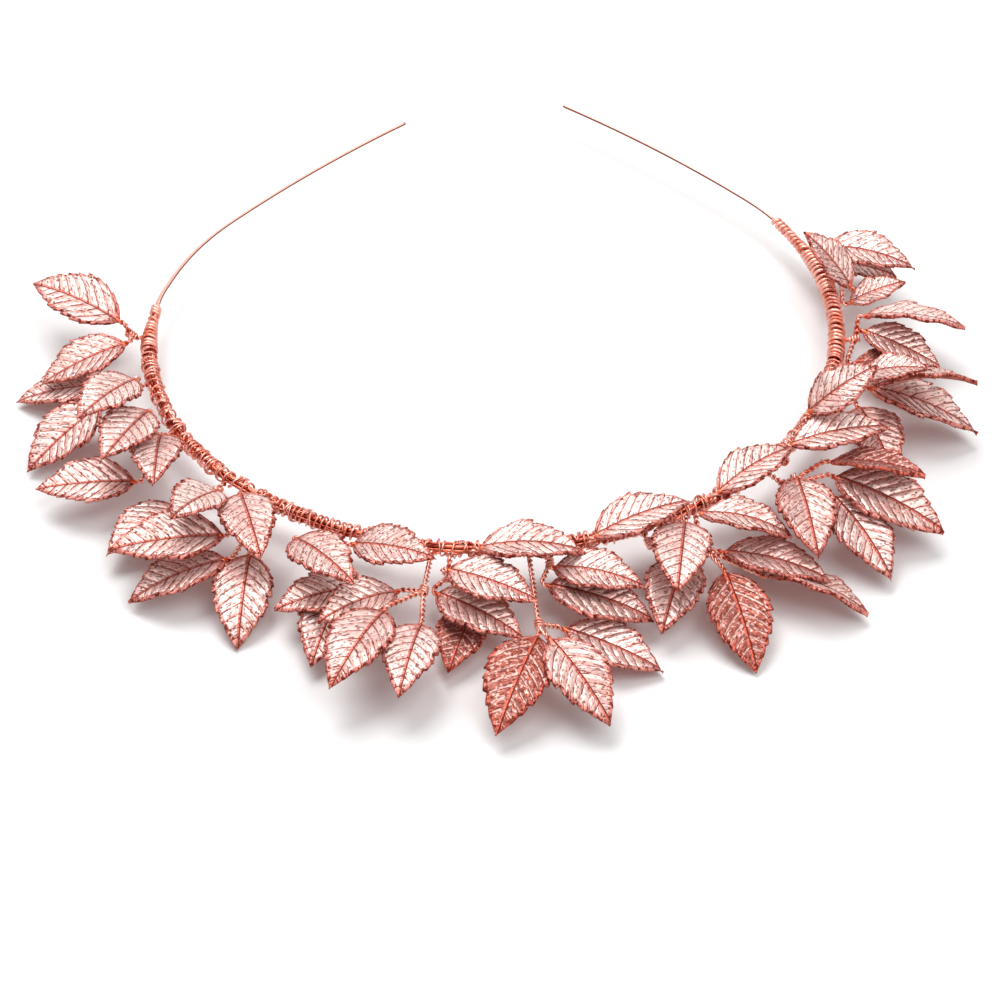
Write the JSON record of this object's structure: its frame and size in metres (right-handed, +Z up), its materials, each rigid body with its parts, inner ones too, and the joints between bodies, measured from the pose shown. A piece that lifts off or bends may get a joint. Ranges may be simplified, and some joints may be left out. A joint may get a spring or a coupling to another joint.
{
  "type": "leaf headband",
  "caption": "Springy open wire headband with clusters of small embossed metal leaves bound along its front on twisted stems; worn round the head.",
  "frame": {"origin": "centre of the head opening, in the plane of the band", "axes": "+Z up as the headband lies on a table, +Y towards the open ends, +X to the right seen with the open ends away"},
  "size_m": [0.1904, 0.1695, 0.0215],
  "materials": {
    "band_strip": "rose gold plate, satin",
    "binding_wire": "rose gold plate, satin",
    "leaf_metal": "rose gold plate, embossed and grainy",
    "stem_wire": "rose gold plate, twisted wire"
  },
  "bodies": {
    "crown": {"headband_front": "band_strip", "upper_vine_wire": "binding_wire", "lower_vine_wire": "binding_wire", "left_end_wrap": "binding_wire", "binding_wire": "binding_wire", "right_end_wrap": "binding_wire", "sprig_01_leaves": "leaf_metal", "sprig_02_leaves": "leaf_metal", "sprig_03_leaves": "leaf_metal", "sprig_04_leaves": "leaf_metal", "sprig_05_leaves": "leaf_metal", "sprig_06_leaves": "leaf_metal", "sprig_07_leaves": "leaf_metal", "sprig_08_leaves": "leaf_metal", "sprig_09_leaves": "leaf_metal", "sprig_10_leaves": "leaf_metal", "sprig_11_leaves": "leaf_metal", "sprig_12_leaves": "leaf_metal", "sprig_13_leaves": "leaf_metal", "sprig_14_leaves": "leaf_metal", "sprig_15_leaves": "leaf_metal", "sprig_16_leaves": "leaf_metal", "sprig_17_leaves": "leaf_metal", "sprig_01_stem": "stem_wire", "sprig_02_stem": "stem_wire", "sprig_03_stem": "stem_wire", "sprig_04_stem": "stem_wire", "sprig_05_stem": "stem_wire", "sprig_06_stem": "stem_wire", "sprig_07_stem": "stem_wire", "sprig_08_stem": "stem_wire", "sprig_09_stem": "stem_wire", "sprig_10_stem": "stem_wire", "sprig_11_stem": "stem_wire", "sprig_12_stem": "stem_wire", "sprig_13_stem": "stem_wire", "sprig_14_stem": "stem_wire", "sprig_15_stem": "stem_wire", "sprig_16_stem": "stem_wire", "sprig_17_stem": "stem_wire"},
    "left_arm": {"headband_left_arm": "band_strip"},
    "right_arm": {"headband_right_arm": "band_strip"}
  },
  "joints": [
    {"name": "left_arm_flex", "type": "hinge", "parent": "crown", "child": "left_arm", "pos_m": [-0.06774, 0.02003, 0], "axis": [0, 0, 1], "range_deg": [-6, 12], "stiffness_Nm_per_rad": 0.2},
    {"name": "right_arm_flex", "type": "hinge", "parent": "crown", "child": "right_arm", "pos_m": [0.06037, 0.03797, 0], "axis": [0, 0, -1], "range_deg": [-6, 12], "stiffness_Nm_per_rad": 0.2}
  ]
}
